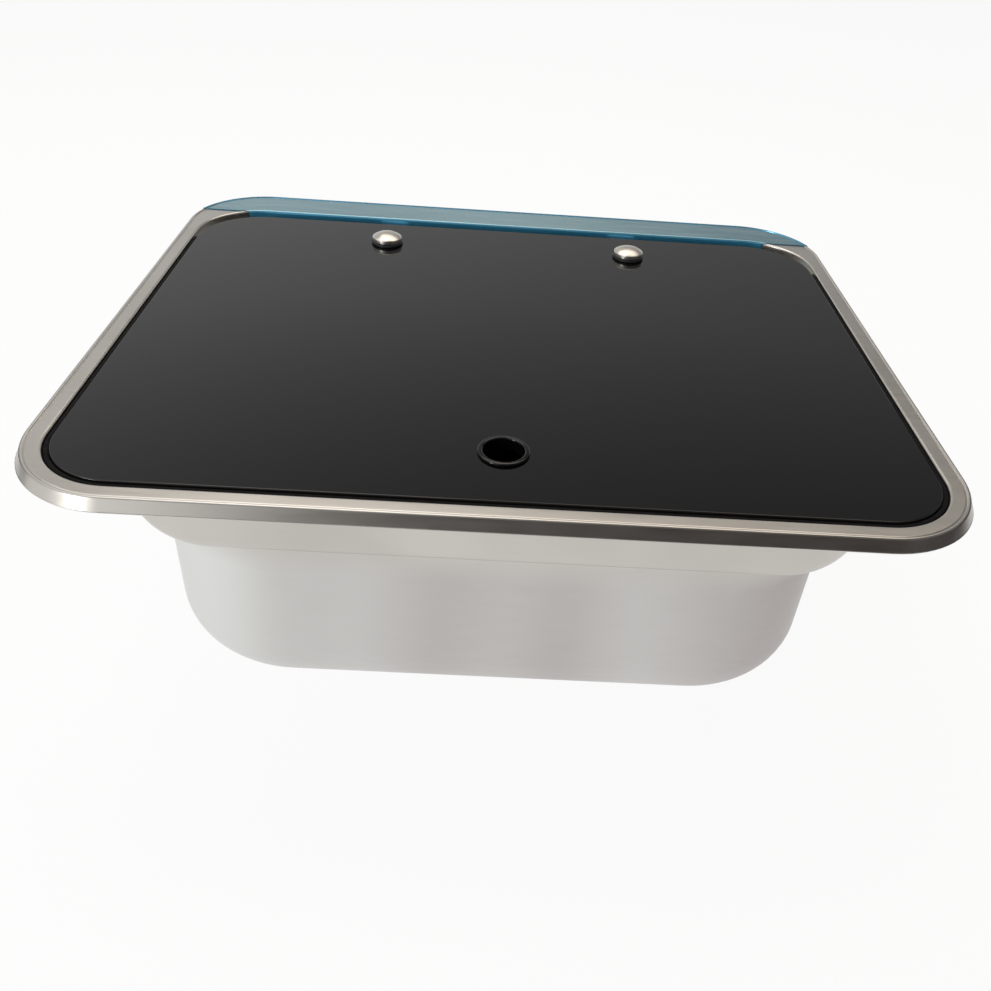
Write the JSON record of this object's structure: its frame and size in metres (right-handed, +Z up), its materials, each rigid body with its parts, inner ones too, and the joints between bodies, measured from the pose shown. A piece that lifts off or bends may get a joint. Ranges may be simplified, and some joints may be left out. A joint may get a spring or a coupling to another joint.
{
  "type": "drop-in motorhome sink with glass lid",
  "caption": "Drop-in stainless sink for a motorhome or boat, with a bowl and tap shelf under a flush smoked-glass lid on rear hinges, a finger hole, drain plug and waste.",
  "frame": {"origin": "middle of the worktop cut-out, in the plane of the worktop that the rim lies on", "axes": "+Z up; +X to the right for someone standing at the finger-hole side; +Y to the rear, where the lid hinges are"},
  "size_m": [0.558, 0.47, 0.2393],
  "materials": {
    "satin_stainless": "satin",
    "hinge_stainless": "satin",
    "chrome": "polished",
    "smoked_glass": "polished",
    "black_rubber": "matte",
    "gloss_black": "gloss",
    "black_nylon": "satin",
    "grey_foam": "matte",
    "blue_film": "gloss",
    "white_plastic": "satin"
  },
  "bodies": {
    "sink": {"basin": "satin_stainless", "rim_foam_seal": "grey_foam", "lid_gasket": "black_rubber", "protective_film": "blue_film", "hinge_pin_left": "hinge_stainless", "hinge_base_left": "hinge_stainless", "hinge_pin_right": "hinge_stainless", "hinge_base_right": "hinge_stainless", "foot_screw_1": "hinge_stainless", "foot_nut_1": "hinge_stainless", "foot_screw_2": "hinge_stainless", "foot_nut_2": "hinge_stainless", "foot_screw_3": "hinge_stainless", "foot_nut_3": "hinge_stainless", "foot_screw_4": "hinge_stainless", "foot_nut_4": "hinge_stainless", "waste_flange": "satin_stainless", "waste_seal_upper": "black_rubber", "waste_seal_lower": "black_rubber", "trap_body": "white_plastic", "waste_screw": "hinge_stainless", "outlet_seal": "black_rubber", "hose_tail": "white_plastic", "outlet_nut": "white_plastic"},
    "lid": {"glass_lid": "smoked_glass", "finger_grommet": "gloss_black", "hinge_cap_left": "chrome", "cap_washer_left": "black_nylon", "glass_pad_left": "black_nylon", "hinge_arm_left": "hinge_stainless", "cap_screw_left": "hinge_stainless", "hinge_cap_right": "chrome", "cap_washer_right": "black_nylon", "glass_pad_right": "black_nylon", "hinge_arm_right": "hinge_stainless", "cap_screw_right": "hinge_stainless"},
    "plug": {"drain_plug": "black_rubber", "plug_knob": "chrome"}
  },
  "joints": [
    {"name": "lid_hinge", "type": "hinge", "parent": "sink", "child": "lid", "pos_m": [0, 0.187, 0.0028], "axis": [-1, 0, 0], "range_deg": [0, 95]},
    {"name": "plug_lift", "type": "slide", "parent": "sink", "child": "plug", "axis": [0, 0, 1], "range_m": [0, 0.12]}
  ]
}
